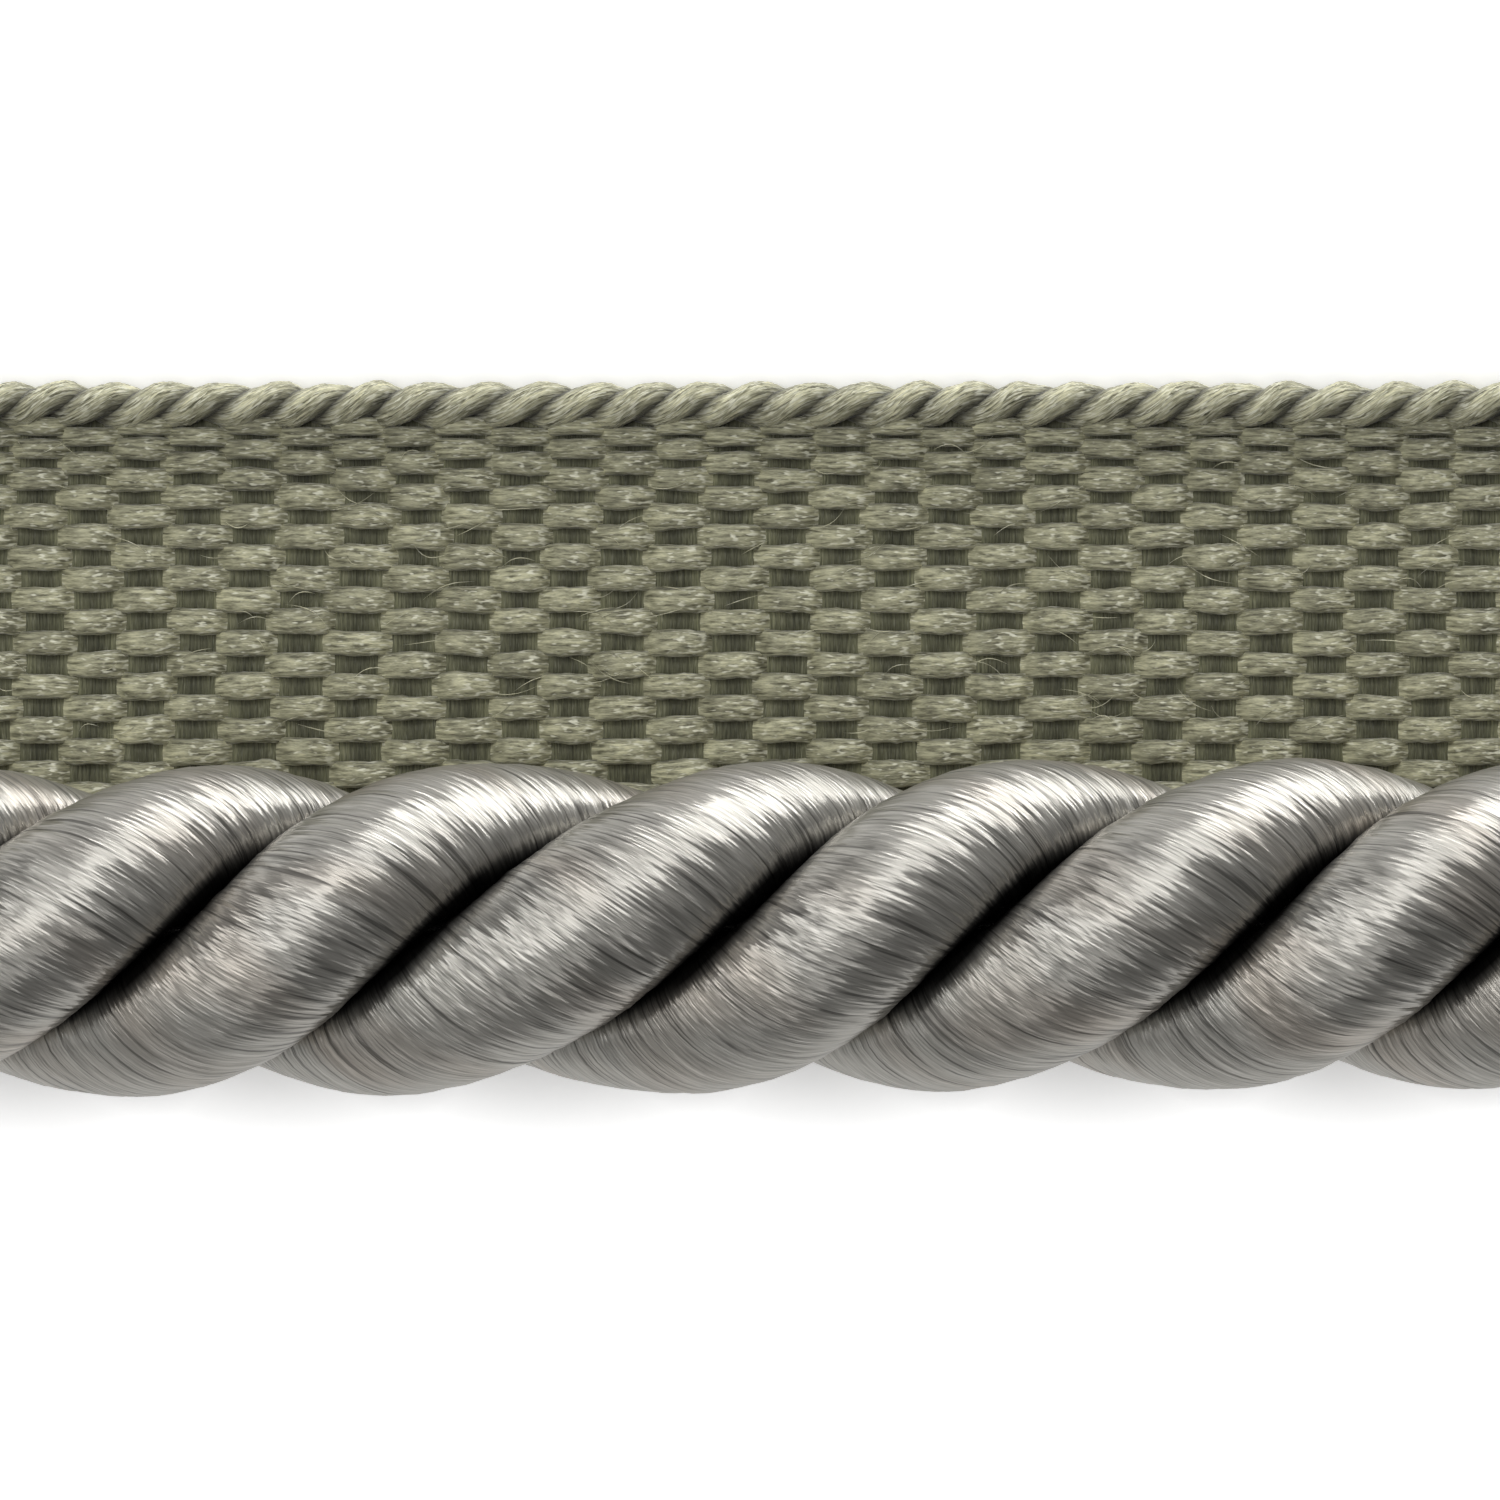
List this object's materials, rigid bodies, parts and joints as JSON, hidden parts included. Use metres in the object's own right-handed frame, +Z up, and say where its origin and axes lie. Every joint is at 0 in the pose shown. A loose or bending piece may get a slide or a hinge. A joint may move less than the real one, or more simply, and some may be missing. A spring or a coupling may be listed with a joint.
{
  "type": "twisted cord trim with a woven lip",
  "caption": "Lustrous twisted cord laid along the edge of a narrow woven tape, whose free lip is sewn into a seam as piping.",
  "frame": {"origin": "on the lip's underside at mid-length, on the line where the cord's side meets the lip", "axes": "+X along the trim, +Y from the cord to the lip's free edge, +Z up from the surface it lies on"},
  "size_m": [0.098, 0.0217, 0.0113],
  "materials": {
    "lustrous_silver": "silky floss with a bright sheen",
    "sage_weave": "matt spun yarn, plain weave",
    "sage_cord": "matt spun yarn, twisted"
  },
  "bodies": {
    "root": {"ply_1": "lustrous_silver", "ply_2": "lustrous_silver", "ply_3": "lustrous_silver", "lip_tape": "sage_weave", "selvedge_cord": "sage_cord"}
  },
  "joints": []
}
